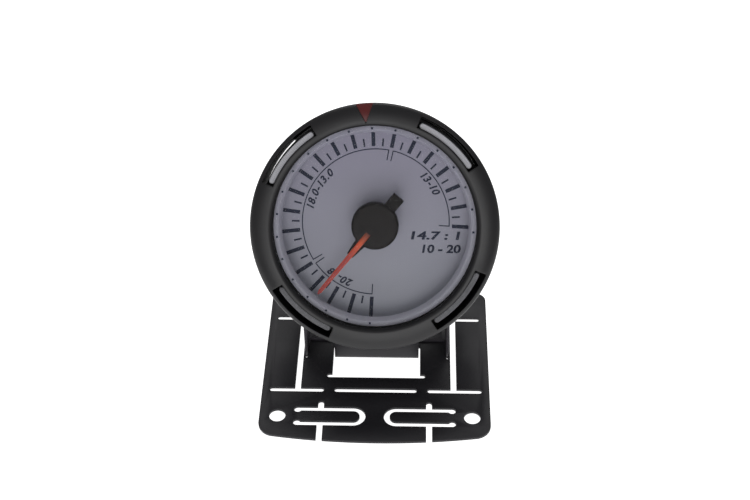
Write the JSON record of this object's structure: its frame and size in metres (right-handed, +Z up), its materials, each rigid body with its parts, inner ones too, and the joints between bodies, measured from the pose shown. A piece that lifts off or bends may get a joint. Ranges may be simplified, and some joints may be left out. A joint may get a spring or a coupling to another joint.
{
  "type": "air fuel ratio gauge",
  "caption": "Round air fuel ratio gauge with a white dial, red pointer and windowed bezel, tilting on a slotted black sheet steel bracket.",
  "frame": {"origin": "midway between the two fixing holes, on the underside of the base plate", "axes": "+Z up through the base plate, +X to the right along the line of the fixing holes, +Y to the back, away from the dial"},
  "size_m": [0.065, 0.0728, 0.0797],
  "materials": {
    "bracket_sheet": "satin black powder coat",
    "bright_steel": "zinc plated",
    "black_screws": "black oxide",
    "nylon": "natural nylon",
    "case_plastic": "fine moulded grain",
    "bezel_plastic": "smooth satin black",
    "marker_red": "dark translucent red",
    "strip_plastic": "frosted light grey",
    "lens_clear": "clear polished",
    "gasket_rubber": "matt",
    "spacer_white": "matt white",
    "dial_white": "printed white film",
    "print_ink": "dark printed ink",
    "guide_clear": "clear acrylic",
    "board_green": "solder mask",
    "lamp_yellow": "phosphor",
    "motor_plastic": "moulded",
    "brass_posts": "turned",
    "chip_black": "moulded epoxy",
    "capacitor_can": "bare can",
    "socket_natural": "natural nylon",
    "socket_black": "black nylon",
    "pointer_black": "satin moulded",
    "needle_red": "translucent red acrylic"
  },
  "bodies": {
    "bracket": {"base_plate": "bracket_sheet", "cradle": "bracket_sheet", "cradle_rivets": "bright_steel", "pivot_screws": "black_screws", "friction_washers": "nylon", "pivot_nuts": "bright_steel"},
    "gauge": {"yoke": "bracket_sheet", "mounting_studs": "bright_steel", "stud_washers": "bright_steel", "stud_nuts": "bright_steel", "case": "case_plastic", "rear_cover": "case_plastic", "cover_screws": "bright_steel", "bezel": "bezel_plastic", "bezel_marker": "marker_red", "light_strips": "strip_plastic", "lens": "lens_clear", "lens_gasket": "gasket_rubber", "spacer_ring": "spacer_white", "spacer_marks": "print_ink", "dial": "dial_white", "dial_marks": "print_ink", "zone_lines": "print_ink", "light_guide": "guide_clear", "reflector": "spacer_white", "light_board": "board_green", "lamps": "lamp_yellow", "motor_housing": "motor_plastic", "board_posts": "brass_posts", "board_screws": "bright_steel", "main_board": "board_green", "board_chips": "chip_black", "capacitors": "capacitor_can", "power_socket": "socket_natural", "sensor_socket": "socket_black", "socket_pins": "brass_posts"},
    "pointer": {"pointer_cap": "pointer_black", "pointer_needle": "needle_red", "motor_shaft": "bright_steel"}
  },
  "joints": [
    {"name": "tilt", "type": "hinge", "parent": "bracket", "child": "gauge", "pos_m": [0, 0.0452, 0.01477], "axis": [1, 0, 0], "range_deg": [-20, 12]},
    {"name": "pointer_turn", "type": "hinge", "parent": "gauge", "child": "pointer", "pos_m": [0, 0.01895, 0.0524], "axis": [0, 0.848, -0.5299], "range_deg": [-38, 235]}
  ]
}
